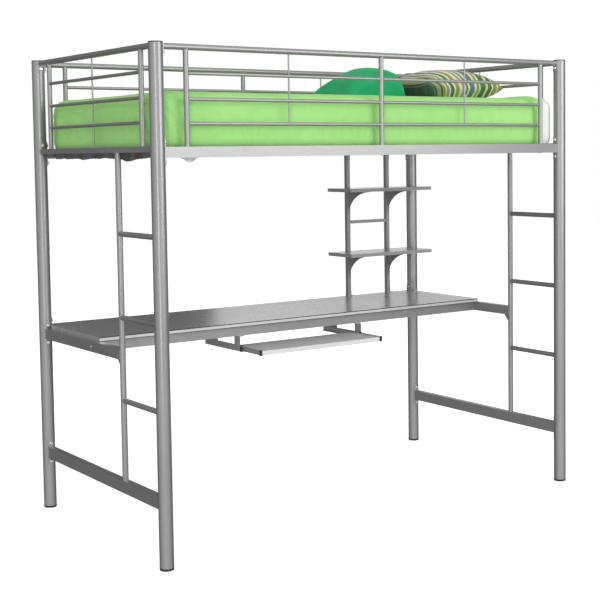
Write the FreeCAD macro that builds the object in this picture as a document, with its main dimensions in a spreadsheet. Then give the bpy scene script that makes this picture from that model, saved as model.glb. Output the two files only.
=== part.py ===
import FreeCAD, Part
import Sketcher
import math
import os

# Steel-tube loft bed with a full-width desk, a wall-side shelf tower and a
# pull-out keyboard tray.  Millimetres; +X along the length, +Y to the rear,
# +Z up, origin on the floor under the middle of the footprint.

doc = FreeCAD.newDocument("loft_bed_with_desk")
sheet = doc.addObject("Spreadsheet::Sheet", "Dims")

DIMS = [
    # posts
    ("post_half_x", 965.0), ("post_half_y", 508.0), ("post_rad", 25.4), ("post_wall", 1.6),
    ("total_high", 1829.0), ("cap_thick", 4.0), ("glide_high", 9.0), ("plug_gap", 0.4), ("plug_deep", 14.0),
    # welded end saddles and their bolts
    ("saddle_thick", 2.5), ("saddle_wide", 27.0),
    ("head_rad", 7.5), ("head_high", 4.6), ("shank_rad", 4.0), ("shank_long", 22.0), ("socket_deep", 2.6), ("socket_rad", 2.9),
    ("hole_rad", 4.3),
    # bed rails, ledges and slats
    ("side_low", 1433.0), ("side_high", 38.0), ("side_deep", 25.0), ("rail_wall", 1.5),
    ("endbed_low", 1453.0), ("endbed_high", 20.0), ("endbed_deep", 25.0),
    ("ledge_low", 1436.0), ("ledge_wide", 26.0), ("ledge_high", 22.0), ("ledge_thick", 2.0), ("ledge_half", 934.0),
    ("slat_wide", 38.0), ("slat_high", 14.0), ("slat_pitch", 160.0), ("slat_wall", 1.2), ("slat_half_y", 493.0),
    ("screw_head_rad", 5.0), ("screw_head_high", 2.6), ("screw_rad", 2.4), ("screw_long", 12.0),
    # guards
    ("guard_rail_rad", 11.0), ("guard_wall", 1.2), ("guard_rail_side", 1813.5), ("guard_rail_end", 1816.5),
    ("stile_rad", 9.5), ("stile_x", 850.0), ("stile_y", 397.0),
    ("bar_rad", 6.35), ("bar_side_top", 1724.0), ("bar_side_mid", 1635.0), ("bar_side_low", 1550.0),
    ("bar_end_top", 1731.0), ("bar_end_mid", 1642.0), ("bar_end_low", 1556.0),
    ("rod_rad", 3.2), ("rod_x", 425.0),
    # ladders and lower end rails
    ("ladder_rad", 11.0), ("ladder_y", -199.5), ("rung_rad", 10.0), ("rung_top", 1160.0), ("rung_pitch", 305.0),
    ("lower_low", 209.0), ("lower_high", 46.0), ("lower_deep", 25.0),
    # desk frame
    ("mid_low", 701.0), ("mid_high", 40.0), ("mid_deep", 25.0),
    ("apron_y", 44.0), ("apron_deep", 20.0), ("wallrail_low", 717.0), ("wallrail_y", 508.0), ("wallrail_deep", 20.0),
    # desk top
    ("desk_half_x", 957.0), ("desk_front", 12.0), ("desk_rear", 498.0), ("desk_thick", 16.0), ("edge_thick", 1.6),
    ("notch_x", 934.0), ("notch_y", 466.0),
    # shelf tower
    ("tower_left", 571.5), ("tower_right", 807.5), ("tower_side", 19.0), ("tower_wall", 1.4),
    ("tie_high", 1112.0), ("tie_side", 15.0),
    ("shelf_left", 450.0), ("shelf_right", 930.0), ("shelf_front", 313.5), ("shelf_thick", 16.0),
    ("shelf_low", 958.0), ("shelf_up", 1260.5), ("gusset_reach", 165.0), ("gusset_drop", 115.0), ("gusset_thick", 2.5),
    ("gusset_lip", 6.0), ("gusset_flange", 18.0),
    # keyboard tray, drawn at its resting place, part way out
    ("tray_mid", -26.0), ("channel_half", 308.0), ("channel_low", 638.0), ("channel_high", 24.0), ("channel_deep", 11.0),
    ("channel_wall", 1.5), ("channel_front", 20.0), ("channel_rear", 307.0), ("tab_front_end", 65.0), ("tab_rear_start", 200.0),
    ("tab_flange", 24.0), ("slide_low", 641.0), ("slide_high", 18.5), ("slide_deep", 9.5), ("slide_front", -127.0),
    ("slide_rear", 158.0), ("slide_wall", 1.5), ("tray_rear", 88.0), ("tray_low", 645.0), ("tray_thick", 10.0),
    ("strip_low", 638.0), ("strip_high", 19.0), ("strip_deep", 14.0), ("tip_thick", 4.0),
    # bedding
    ("mattress_half_x", 946.0), ("mattress_half_y", 484.0), ("mattress_low", 1453.5), ("mattress_top", 1664.0),
    ("mattress_corner", 62.0), ("mattress_edge", 30.0), ("cover_thick", 2.5), ("cover_gap", 0.3), ("cover_right", 888.0),
]
for row, (alias, value) in enumerate(DIMS, 1):
    sheet.set("A%d" % row, alias)
    sheet.set("B%d" % row, repr(value))
    sheet.setAlias("B%d" % row, alias)
doc.recompute()

ALIASES = sorted([a for a, v in DIMS], key=len, reverse=True)
V = FreeCAD.Vector
NODES = []


def cell(text):
    """Turns aliases in an expression into references to the sheet."""
    out, word = "", ""
    for ch in str(text) + " ":
        if ch.isalnum() or ch == "_":
            word += ch
        else:
            out += ("Dims." + word) if word in ALIASES else word
            word = ""
            out += ch
    return out.strip()


work = doc.addObject("Spreadsheet::Sheet", "Work")
KNOWN = {}


def num(text):
    """Current value of a formula in the sheet's aliases, worked out in a scratch cell."""
    if isinstance(text, (int, float)):
        return float(text)
    if text not in KNOWN:
        work.set("A1", "=" + cell(text))
        work.recompute()
        KNOWN[text] = float(work.get("A1"))
    return KNOWN[text]


def bind(obj, prop, text):
    if isinstance(text, (int, float)):
        text = repr(float(text))
    obj.setExpression(prop, cell(text))


def place(obj, x=0, y=0, z=0, axis=None, angle=0):
    if axis is not None:
        obj.Placement = FreeCAD.Placement(V(0, 0, 0), FreeCAD.Rotation(V(*axis), angle))
    for name, value in (("x", x), ("y", y), ("z", z)):
        bind(obj, "Placement.Base." + name, value)
    return obj


def node(obj, label):
    obj.Label = label
    NODES.append(obj)
    return obj


def new_body(name):
    return doc.addObject("PartDesign::Body", name)


def datum(body, role):
    return [f for f in body.Origin.OriginFeatures if f.Role == role][0]


def new_sketch(body, name, role, lift=0):
    sk = body.newObject("Sketcher::SketchObject", name)
    sk.AttachmentSupport = [(datum(body, role), "")]
    sk.MapMode = "FlatFace"
    if lift:
        sk.AttachmentOffset = FreeCAD.Placement(V(0, 0, num(lift)), FreeCAD.Rotation())
        bind(sk, "AttachmentOffset.Base.z", lift)
    return sk


def circle(sk, rad, tag, cx=0, cy=0):
    g = sk.addGeometry(Part.Circle(V(num(cx), num(cy), 0), V(0, 0, 1), num(rad)), False)
    if cx == 0 and cy == 0:
        sk.addConstraint(Sketcher.Constraint("Coincident", g, 3, -1, 1))
    else:
        for kind, value in (("DistanceX", cx), ("DistanceY", cy)):
            k = sk.addConstraint(Sketcher.Constraint(kind, -1, 1, g, 3, num(value)))
            sk.renameConstraint(k, tag + "_" + kind[-1].lower())
            bind(sk, "Constraints." + tag + "_" + kind[-1].lower(), value)
    k = sk.addConstraint(Sketcher.Constraint("Radius", g, num(rad)))
    sk.renameConstraint(k, tag)
    bind(sk, "Constraints." + tag, rad)


def outline(sk, points, tag):
    """Closed polygon whose corners are all dimensioned from the origin."""
    pts = [(num(x), num(y)) for x, y in points]
    n = len(pts)
    first = sk.GeometryCount
    for k in range(n):
        a, b = pts[k], pts[(k + 1) % n]
        sk.addGeometry(Part.LineSegment(V(a[0], a[1], 0), V(b[0], b[1], 0)), False)
    for k in range(n):
        sk.addConstraint(Sketcher.Constraint("Coincident", first + k, 2, first + (k + 1) % n, 1))
    for k, (x, y) in enumerate(points):
        for kind, value in (("DistanceX", x), ("DistanceY", y)):
            c = sk.addConstraint(Sketcher.Constraint(kind, -1, 1, first + k, 1, num(value)))
            if isinstance(value, str):
                name = "%s_%s%d" % (tag, kind[-1].lower(), k)
                sk.renameConstraint(c, name)
                bind(sk, "Constraints." + name, value)


def rectangle(sk, half_w, half_h, tag):
    outline(sk, [("-(%s)" % half_w, "-(%s)" % half_h), ("(%s)" % half_w, "-(%s)" % half_h),
                 ("(%s)" % half_w, "(%s)" % half_h), ("-(%s)" % half_w, "(%s)" % half_h)], tag)


def pad(body, sk, length, name="Pad"):
    p = body.newObject("PartDesign::Pad", name)
    p.Profile = sk
    bind(p, "Length", length)
    return p


ROLE = {"x": "YZ_Plane", "y": "XZ_Plane", "z": "XY_Plane"}


def round_tube(name, along, rad, wall, length, x=0, y=0, z=0):
    """Tube from x, y, z: towards +X, -Y or +Z."""
    b = new_body(name)
    sk = new_sketch(b, name + "_section", ROLE[along])
    circle(sk, rad, "outer")
    if wall:
        circle(sk, "%s-%s" % (rad, wall), "inner")
    pad(b, sk, length, name + "_pad")
    return place(b, x, y, z)


def box_tube(name, along, wide, high, wall, length, x=0, y=0, z=0):
    """Rectangular tube centred on its axis, from x, y, z: towards +X, -Y or +Z."""
    b = new_body(name)
    sk = new_sketch(b, name + "_section", ROLE[along])
    rectangle(sk, "%s/2" % wide, "%s/2" % high, "outer")
    if wall:
        rectangle(sk, "%s/2-%s" % (wide, wall), "%s/2-%s" % (high, wall), "inner")
    pad(b, sk, length, name + "_pad")
    return place(b, x, y, z)


def block(name, x0, x1, y0, y1, z0, z1):
    b = doc.addObject("Part::Box", name)
    bind(b, "Length", "(%s)-(%s)" % (x1, x0))
    bind(b, "Width", "(%s)-(%s)" % (y1, y0))
    bind(b, "Height", "(%s)-(%s)" % (z1, z0))
    return place(b, x0, y0, z0)


def rod(name, along, rad, length, x=0, y=0, z=0):
    """Plain cylinder starting at x, y, z and running towards +X, +Y or +Z."""
    c = doc.addObject("Part::Cylinder", name)
    bind(c, "Radius", rad)
    bind(c, "Height", length)
    turn = {"x": ((0, 1, 0), 90), "y": ((1, 0, 0), -90), "z": (None, 0)}[along]
    return place(c, x, y, z, turn[0], turn[1])


def group(name, items):
    c = doc.addObject("Part::Compound", name)
    c.Links = items
    return c


def fuse(name, items):
    f = doc.addObject("Part::MultiFuse", name)
    f.Shapes = items
    return f


def cut(name, base, tool):
    c = doc.addObject("Part::Cut", name)
    c.Base = base
    c.Tool = tool
    return c


def common(name, base, tool):
    c = doc.addObject("Part::Common", name)
    c.Base = base
    c.Tool = tool
    return c


def mirrored(name, source, normal, base=(0, 0, 0)):
    m = doc.addObject("Part::Mirroring", name)
    m.Source = source
    m.Base = V(*base)
    m.Normal = V(*normal)
    return m


def copies(name, source, spots):
    """Group of placed copies of one piece; spots are (x, y, z, rotation)."""
    links = []
    for k, (x, y, z, rot) in enumerate(spots):
        link = doc.addObject("App::Link", "%s_%d" % (name, k))
        link.LinkedObject = source
        link.LinkTransform = False
        link.Placement = FreeCAD.Placement(V(x, y, z), rot)
        links.append(link)
    return group(name, links)


TURN = {  # a piece made for +X, turned to face each way
    "+x": FreeCAD.Rotation(), "+y": FreeCAD.Rotation(V(0, 0, 1), 90),
    "-x": FreeCAD.Rotation(V(0, 0, 1), 180), "-y": FreeCAD.Rotation(V(0, 0, 1), -90),
}
FLAT = FreeCAD.Rotation()
DOWN = FreeCAD.Rotation(V(1, 0, 0), 180)
# a piece whose axis is +Z, tipped to point sideways
AIM = {"+x": FreeCAD.Rotation(V(0, 1, 0), 90), "-x": FreeCAD.Rotation(V(0, 1, 0), -90),
       "+y": FreeCAD.Rotation(V(1, 0, 0), -90), "-y": FreeCAD.Rotation(V(1, 0, 0), 90)}

PX, PY = num("post_half_x"), num("post_half_y")
CORNERS = {"front_left": (-1, -1), "front_right": (1, -1), "rear_left": (-1, 1), "rear_right": (1, 1)}

# ------------------------------------------------------------------ fasteners
bolt = new_body("button_bolt")
sk = new_sketch(bolt, "button_bolt_profile", "XZ_Plane")
outline(sk, [(0, "-shank_long"), ("shank_rad", "-shank_long"), ("shank_rad", 0), ("head_rad", 0), ("head_rad", "head_high*0.3"),
             ("head_rad*0.88", "head_high*0.68"), ("head_rad*0.62", "head_high"), (0, "head_high")], "p")
turned = bolt.newObject("PartDesign::Revolution", "button_bolt_turned")
turned.Profile = sk
turned.ReferenceAxis = (sk, ["V_Axis"])
turned.Angle = 360
sk = new_sketch(bolt, "button_bolt_socket", "XY_Plane", "head_high")
outline(sk, [("socket_rad*%.6f" % math.cos(math.radians(a)), "socket_rad*%.6f" % math.sin(math.radians(a)))
             for a in (30, 90, 150, 210, 270, 330)], "h")
socket = bolt.newObject("PartDesign::Pocket", "button_bolt_hex")
socket.Profile = sk
bind(socket, "Length", "socket_deep")

screw = new_body("pan_screw")
sk = new_sketch(screw, "pan_screw_profile", "XZ_Plane")
outline(sk, [(0, "-screw_long"), ("screw_rad", "-screw_long"), ("screw_rad", 0), ("screw_head_rad", 0),
             ("screw_head_rad", "screw_head_high*0.45"), ("screw_head_rad*0.7", "screw_head_high"), (0, "screw_head_high")], "p")
turned = screw.newObject("PartDesign::Revolution", "pan_screw_turned")
turned.Profile = sk
turned.ReferenceAxis = (sk, ["V_Axis"])
turned.Angle = 360

short = new_body("short_screw")
sk = new_sketch(short, "short_screw_profile", "XZ_Plane")
outline(sk, [(0, -2.4), ("screw_rad", -2.4), ("screw_rad", 0), ("screw_head_rad", 0), ("screw_head_rad", "screw_head_high*0.45"),
             ("screw_head_rad*0.7", "screw_head_high"), (0, "screw_head_high")], "p")
turned = short.newObject("PartDesign::Revolution", "short_screw_turned")
turned.Profile = sk
turned.ReferenceAxis = (sk, ["V_Axis"])
turned.Angle = 360


def screw_holes(name, depth, spots):
    """Clearance holes for screws at those spots, from depth under the head to a little outside it."""
    tool = rod(name + "_bore", "z", "screw_rad+0.2", depth + 4)
    return copies(name, tool, [(x - depth * d.x, y - depth * d.y, z - depth * d.z, rot)
                               for x, y, z, rot in spots for d in (rot.multVec(V(0, 0, 1)),)])


# every bolted rail end: which way it faces from its post, and the bolt heights
BOLTS = {"guard_bolts": [], "bed_rail_bolts": [], "lower_rail_bolts": [], "desk_frame_bolts": []}
for name, (sx, sy) in CORNERS.items():
    inx, iny = ("-x" if sx > 0 else "+x"), ("-y" if sy > 0 else "+y")
    BOLTS["guard_bolts"] += [(sx, sy, inx, 1793.5), (sx, sy, iny, 1794.5)]
    BOLTS["bed_rail_bolts"] += [(sx, sy, inx, 1487.0), (sx, sy, inx, 1417.5), (sx, sy, iny, 1486.5)]
    BOLTS["lower_rail_bolts"] += [(sx, sy, iny, 269.0), (sx, sy, iny, 194.5)]
    if sy > 0:
        BOLTS["desk_frame_bolts"] += [(sx, sy, iny, 755.5), (sx, sy, iny, 686.0), (sx, sy, inx, 773.5), (sx, sy, inx, 701.0)]
STEP = {"+x": (1, 0), "-x": (-1, 0), "+y": (0, 1), "-y": (0, -1)}

# screws up through the side rails into the guard stiles, and the small ones on the tower and the desk
STILE_SCREWS = [(num(x), s * PY, num("side_low"), DOWN) for x in ("-stile_x", "0", "stile_x") for s in (-1, 1)]
SMALL = []
for x in ("tower_left", "tower_right"):
    xx = num(x)
    SMALL.append((xx + num("tower_side/2") + 2.5, PY, num("side_low") - 18, AIM["+x"]))
    SMALL.append((xx + num("tower_side/2") + 2.5, PY, num("wallrail_low+mid_high") + 14, AIM["+x"]))
for s in (-1, 1):
    SMALL.append((s * (PX + num("mid_deep/2")), num("apron_y"), num("mid_low+mid_high/2"), AIM["+x" if s > 0 else "-x"]))
for s in (-1, 1):
    edge = num("tray_mid") + s * (num("channel_half") - 15)
    SMALL.append((edge, 44.0, num("mid_low-channel_wall"), DOWN))
    SMALL.append((edge, 225.0, num("mid_low+mid_high-channel_wall"), DOWN))
    SMALL.append((edge, 285.0, num("mid_low+mid_high-channel_wall"), DOWN))
stile_screw_holes = screw_holes("stile_screw_holes", 3.0, STILE_SCREWS)
small_screw_holes = screw_holes("small_screw_holes", 3.0, SMALL)
SEAT = num("post_rad+saddle_thick")

bore = rod("bolt_bore", "z", "hole_rad", 40)
HOLES = []
for key in BOLTS:
    spots = []
    for sx, sy, way, z in BOLTS[key]:
        dx, dy = STEP[way]
        spots.append((sx * PX + dx * 12, sy * PY + dy * 12, z, AIM[way]))
    HOLES.append(copies("holes_for_" + key, bore, spots))
all_holes = group("post_bolt_holes", HOLES)

# ---------------------------------------------------------------------- posts
for name, (sx, sy) in CORNERS.items():
    raw = round_tube("tube_" + name, "z", "post_rad", "post_wall", "total_high-cap_thick-glide_high",
                     "%d*post_half_x" % sx, "%d*post_half_y" % sy, "glide_high")
    node(cut("drilled_" + name, raw, all_holes), "post_" + name)


def plug(name, points):
    b = new_body(name)
    s = new_sketch(b, name + "_profile", "XZ_Plane")
    outline(s, points, "p")
    r = b.newObject("PartDesign::Revolution", name + "_turned")
    r.Profile = s
    r.ReferenceAxis = (s, ["V_Axis"])
    r.Angle = 360
    return b


cap = plug("top_cap", [(0, "-plug_deep"), ("post_rad-post_wall-plug_gap-0.6", "-plug_deep"), ("post_rad-post_wall-plug_gap", "-plug_deep+1.5"),
                       ("post_rad-post_wall-plug_gap", 0), ("post_rad", 0), ("post_rad", "cap_thick-1.6"),
                       ("post_rad-0.7", "cap_thick-0.5"), ("post_rad-2.4", "cap_thick"), (0, "cap_thick")])
glide = plug("foot_glide", [(0, "-glide_high"), ("post_rad-2.2", "-glide_high"), ("post_rad-0.6", "-glide_high+1.2"),
                            ("post_rad", "-glide_high+3"), ("post_rad", 0), ("post_rad-post_wall-plug_gap", 0),
                            ("post_rad-post_wall-plug_gap", "plug_deep-1.5"), ("post_rad-post_wall-plug_gap-0.6", "plug_deep"), (0, "plug_deep")])
node(copies("cap_set", cap, [(sx * PX, sy * PY, num("total_high-cap_thick"), FLAT) for sx, sy in CORNERS.values()]), "post_top_caps")
node(copies("glide_set", glide, [(sx * PX, sy * PY, num("glide_high"), FLAT) for sx, sy in CORNERS.values()]), "post_foot_glides")

# ------------------------------------------- saddles: curved plates on the posts
def saddle(name, low, high):
    outer = rod(name + "_outer", "z", "post_rad+saddle_thick", "%s-(%s)" % (high, low), 0, 0, low)
    inner = rod(name + "_inner", "z", "post_rad", "%s-(%s)+2" % (high, low), 0, 0, "%s-1" % low)
    ring = cut(name + "_ring", outer, inner)
    window = block(name + "_window", 0, "post_rad+10", "-saddle_wide/2", "saddle_wide/2", low, high)
    return common(name + "_plate", ring, window)


guard_plate = saddle("guard_saddle", "1780", "1824")
side_plate = saddle("side_saddle", "1404", "1501")
endbed_plate = saddle("endbed_saddle", "1450", "1501")
lower_plate = saddle("lower_saddle", "181", "283")
mid_plate = saddle("mid_saddle", "672", "769")
wall_plate = saddle("wall_saddle", "687", "787")


def ring_of(name, plate, spots, holes_for, label):
    plain = copies(name, plate, spots) if not isinstance(plate, list) else group(name, [copies(name + "_%d" % k, p, s) for k, (p, s) in enumerate(plate)])
    node(cut(name + "_drilled", plain, holes_for), label)


facing_x = [(sx * PX, sy * PY, 0, TURN["-x" if sx > 0 else "+x"]) for sx, sy in CORNERS.values()]
facing_y = [(sx * PX, sy * PY, 0, TURN["-y" if sy > 0 else "+y"]) for sx, sy in CORNERS.values()]
rear = [k for k, (sx, sy) in enumerate(CORNERS.values()) if sy > 0]
ring_of("guard_saddles", guard_plate, facing_x + facing_y, HOLES[0], "guard_rail_saddles")
ring_of("bed_saddles", [(side_plate, facing_x), (endbed_plate, facing_y)], None, HOLES[1], "bed_rail_saddles")
ring_of("lower_saddles", lower_plate, facing_y, HOLES[2], "lower_rail_saddles")
ring_of("desk_saddles", [(mid_plate, [facing_y[k] for k in rear]), (wall_plate, [facing_x[k] for k in rear])], None, HOLES[3], "desk_rail_saddles")

# ------------------------------------------------------ cylinders that cope tubes
copers = group("post_copers", [rod("coper_" + n, "z", "post_rad+saddle_thick", "total_high+20", "%d*post_half_x" % sx, "%d*post_half_y" % sy, -10)
                               for n, (sx, sy) in CORNERS.items()])
bare_copers = group("bare_post_copers", [rod("bare_coper_" + n, "z", "post_rad", "total_high+20", "%d*post_half_x" % sx, "%d*post_half_y" % sy, -10)
                                         for n, (sx, sy) in CORNERS.items()])

# ------------------------------------------------------------------- bed rails
raw = box_tube("side_rail_tube", "x", "side_deep", "side_high", "rail_wall", "2*post_half_x", "-post_half_x", "-post_half_y", "side_low+side_high/2")
front_side = node(cut("side_rail_drilled", cut("side_rail_coped", raw, copers), stile_screw_holes), "side_rail_front")
node(mirrored("side_rail_other", front_side, (0, 1, 0)), "side_rail_rear")

raw = box_tube("end_bed_tube", "y", "endbed_deep", "endbed_high", "rail_wall", "2*post_half_y", "-post_half_x", "post_half_y", "endbed_low+endbed_high/2")
left_bed = node(cut("end_bed_coped", raw, copers), "left_end_bed_rail")
node(mirrored("end_bed_other", left_bed, (1, 0, 0)), "right_end_bed_rail")

ledge = new_body("slat_ledge")
sk = new_sketch(ledge, "slat_ledge_section", "YZ_Plane")
outline(sk, [(0, 0), ("ledge_wide", 0), ("ledge_wide", "ledge_thick"), ("ledge_thick", "ledge_thick"), ("ledge_thick", "ledge_high"), (0, "ledge_high")], "p")
pad(ledge, sk, "2*ledge_half", "slat_ledge_pad")
place(ledge, "-ledge_half", "-post_half_y+side_deep/2", "ledge_low")
slat = box_tube("slat_tube", "y", "slat_wide", "slat_high", "slat_wall", "2*slat_half_y", 0, 0, 0)
SLATS = [k * num("slat_pitch") for k in (-5.5, -4.5, -3.5, -2.5, -1.5, -0.5, 0.5, 1.5, 2.5, 3.5, 4.5, 5.5)]
slat_z = num("ledge_low+ledge_thick+slat_high/2")
SLAT_SCREWS = [(x, s * num("post_half_y-side_deep/2-ledge_wide/2-2"), num("ledge_low"), DOWN) for x in SLATS for s in (-1, 1)]
slat_holes = screw_holes("slat_screw_holes", 12.4, SLAT_SCREWS)
node(cut("slat_ledges_drilled", group("slat_ledge_pair", [ledge, mirrored("slat_ledge_other", ledge, (0, 1, 0))]), slat_holes), "slat_ledges")
plain = copies("slat_row", slat, [(x, num("slat_half_y"), slat_z, FLAT) for x in SLATS])
node(cut("slat_row_drilled", plain, slat_holes), "bed_slats")
slat_screws = copies("slat_screw_set", screw, SLAT_SCREWS)

# ----------------------------------------------------------------- side guards
raw = round_tube("guard_rail_tube", "x", "guard_rail_rad", "guard_wall", "2*post_half_x", "-post_half_x", "-post_half_y", "guard_rail_side")
front_top = node(cut("guard_rail_coped", raw, copers), "front_guard_top_rail")
node(mirrored("guard_rail_other", front_top, (0, 1, 0)), "rear_guard_top_rail")

rail_core = rod("guard_rail_core", "x", "guard_rail_rad", "2*post_half_x", "-post_half_x", "-post_half_y", "guard_rail_side")
STILES = ["-stile_x", "0", "stile_x"]
tubes = [round_tube("stile_tube_%d" % k, "z", "stile_rad", "guard_wall", "guard_rail_side-side_low-side_high", x, "-post_half_y", "side_low+side_high")
         for k, x in enumerate(STILES)]
front_stiles = cut("stiles_coped", group("stile_set", tubes), rail_core)
node(group("side_stiles_all", [front_stiles, mirrored("stiles_other", front_stiles, (0, 1, 0))]), "side_guard_stiles")

stile_cores = group("stile_cores", [rod("stile_core_%d" % k, "z", "stile_rad", "guard_rail_side-side_low", x, "-post_half_y", "side_low") for k, x in enumerate(STILES)])
bars = [round_tube("bar_tube_%d" % k, "x", "bar_rad", "guard_wall", "2*stile_x", "-stile_x", "-post_half_y", z)
        for k, z in enumerate(("bar_side_top", "bar_side_mid", "bar_side_low"))]
front_bars = cut("bars_coped", group("bar_set", bars), stile_cores)
node(group("side_bars_all", [front_bars, mirrored("bars_other", front_bars, (0, 1, 0))]), "side_guard_bars")

# ------------------------------------------------------------------ end guards
raw = round_tube("end_rail_tube", "y", "guard_rail_rad", "guard_wall", "2*post_half_y", "-post_half_x", "post_half_y", "guard_rail_end")
left_top = node(cut("end_rail_coped", raw, copers), "left_guard_top_rail")
node(mirrored("end_rail_other", left_top, (1, 0, 0)), "right_guard_top_rail")

end_core = rod("end_rail_core", "y", "guard_rail_rad", "2*post_half_y", "-post_half_x", "-post_half_y", "guard_rail_end")
tubes = [round_tube("end_stile_tube_%d" % k, "z", "stile_rad", "guard_wall", "guard_rail_end-endbed_low-endbed_high", "-post_half_x", y, "endbed_low+endbed_high")
         for k, y in enumerate(("-stile_y", "stile_y"))]
left_stiles = cut("end_stiles_coped", group("end_stile_set", tubes), end_core)
node(group("end_stiles_all", [left_stiles, mirrored("end_stiles_other", left_stiles, (1, 0, 0))]), "end_guard_stiles")

end_cores = group("end_stile_cores", [rod("end_stile_core_%d" % k, "z", "stile_rad", 380, "-post_half_x", y, "endbed_low")
                                      for k, y in enumerate(("-stile_y", "stile_y"))])
end_bars = [round_tube("end_bar_tube_%d" % k, "y", "bar_rad", "guard_wall", "2*stile_y", "-post_half_x", "stile_y", z)
            for k, z in enumerate(("bar_end_top", "bar_end_mid", "bar_end_low"))]
left_bars = cut("end_bars_coped", group("end_bar_set", end_bars), end_cores)
node(group("end_bars_all", [left_bars, mirrored("end_bars_other", left_bars, (1, 0, 0))]), "end_guard_bars")

# thin rods that brace the guard bars, in short lengths between them
side_bar_cores = group("side_bar_cores", [rod("side_bar_core_%d" % k, "x", "bar_rad", "2*stile_x", "-stile_x", "-post_half_y", z)
                                          for k, z in enumerate(("bar_side_top", "bar_side_mid", "bar_side_low"))] + [rail_core])
side_rods = group("side_rod_set", [rod("side_rod_%d" % k, "z", "rod_rad", "guard_rail_side-bar_side_low", x, "-post_half_y", "bar_side_low")
                                   for k, x in enumerate(("-rod_x", "rod_x"))])
front_rods = cut("front_rods_cut", side_rods, side_bar_cores)
rear_rods = mirrored("rear_rods", front_rods, (0, 1, 0))
end_bar_cores = group("end_bar_cores", [rod("end_bar_core_%d" % k, "y", "bar_rad", "2*stile_y", "-post_half_x", "-stile_y", z)
                                        for k, z in enumerate(("bar_end_top", "bar_end_mid", "bar_end_low"))] + [end_core])
left_rod = cut("left_rod_cut", rod("end_rod", "z", "rod_rad", "guard_rail_end-endbed_low-endbed_high", "-post_half_x", 0, "endbed_low+endbed_high"), end_bar_cores)
right_rod = mirrored("right_rod", left_rod, (1, 0, 0))
node(group("thin_rods_all", [front_rods, rear_rods, left_rod, right_rod]), "guard_thin_rods")

# ------------------------------------------------------- lower rails and ladders
raw = box_tube("lower_tube", "y", "lower_deep", "lower_high", "rail_wall", "2*post_half_y", "-post_half_x", "post_half_y", "lower_low+lower_high/2")
left_lower = node(cut("lower_coped", raw, copers), "left_lower_rail")
node(mirrored("lower_other", left_lower, (1, 0, 0)), "right_lower_rail")

left_ladder = round_tube("ladder_tube", "z", "ladder_rad", "guard_wall", "endbed_low-lower_low-lower_high", "-post_half_x", "ladder_y", "lower_low+lower_high")
node(left_ladder, "left_ladder_stile")
node(mirrored("ladder_other", left_ladder, (1, 0, 0)), "right_ladder_stile")
ladder_core = rod("ladder_core", "z", "ladder_rad", "endbed_low", "-post_half_x", "ladder_y", 0)
rungs = [round_tube("rung_tube_%d" % k, "y", "rung_rad", "guard_wall", "post_half_y+ladder_y", "-post_half_x", "ladder_y", "rung_top-%d*rung_pitch" % k)
         for k in range(3)]
rungs_cut = cut("rungs_coped", cut("rungs_at_post", group("rung_set", rungs), bare_copers), ladder_core)
left_rungs = node(rungs_cut, "left_ladder_rungs")
node(mirrored("rungs_other", left_rungs, (1, 0, 0)), "right_ladder_rungs")

# ------------------------------------------------------------------ desk frame
raw = box_tube("mid_tube", "y", "mid_deep", "mid_high", "rail_wall", "post_half_y-ladder_y", "-post_half_x", "post_half_y", "mid_low+mid_high/2")
left_mid = node(cut("mid_drilled", cut("mid_coped_twice", cut("mid_coped", raw, copers), ladder_core), small_screw_holes), "desk_rail_left")
node(mirrored("mid_other", left_mid, (1, 0, 0)), "desk_rail_right")
apron = box_tube("apron_tube", "x", "apron_deep", "mid_high", "rail_wall", "2*post_half_x-mid_deep", "-post_half_x+mid_deep/2", "apron_y", "mid_low+mid_high/2")
node(cut("apron_drilled", apron, small_screw_holes), "desk_rail_front")
raw = box_tube("wallrail_tube", "x", "wallrail_deep", "mid_high", "rail_wall", "2*post_half_x", "-post_half_x", "wallrail_y", "wallrail_low+mid_high/2")
node(cut("wallrail_coped", raw, copers), "desk_rail_rear")

gusset = new_body("rail_gusset")
sk = new_sketch(gusset, "rail_gusset_outline", "YZ_Plane")
outline(sk, [("ladder_rad", 0), ("ladder_rad+26", 0), ("ladder_rad+26", -5), ("ladder_rad+5", -28), ("ladder_rad", -28)], "p")
pad(gusset, sk, 3, "rail_gusset_pad")
place(gusset, "-post_half_x-1.5", "ladder_y", "mid_low")
other = mirrored("rail_gusset_other", gusset, (1, 0, 0))
node(group("rail_gussets", [gusset, other]), "desk_rail_gussets")

# ------------------------------------------------------------------- desk top
top = new_body("desk_board")
sk = new_sketch(top, "desk_board_outline", "XY_Plane")
outline(sk, [("-desk_half_x", "desk_front+edge_thick"), ("desk_half_x", "desk_front+edge_thick"), ("desk_half_x", "notch_y"), ("notch_x", "notch_y"),
             ("notch_x", "desk_rear"), ("-notch_x", "desk_rear"), ("-notch_x", "notch_y"), ("-desk_half_x", "notch_y")], "p")
pad(top, sk, "desk_thick", "desk_board_pad")
place(top, 0, 0, "mid_low+mid_high")
node(cut("desk_board_drilled", top, small_screw_holes), "desk_top")
trim = new_body("desk_edge")
sk = new_sketch(trim, "desk_edge_section", "YZ_Plane")
outline(sk, [("desk_front+edge_thick", 0), ("desk_front+0.5", 0), ("desk_front", 0.6), ("desk_front", "desk_thick-0.6"), ("desk_front+0.5", "desk_thick"),
             ("desk_front+edge_thick", "desk_thick")], "p")
pad(trim, sk, "2*desk_half_x", "desk_edge_pad")
place(trim, "-desk_half_x", 0, "mid_low+mid_high")
node(trim, "desk_edge_trim")

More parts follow.
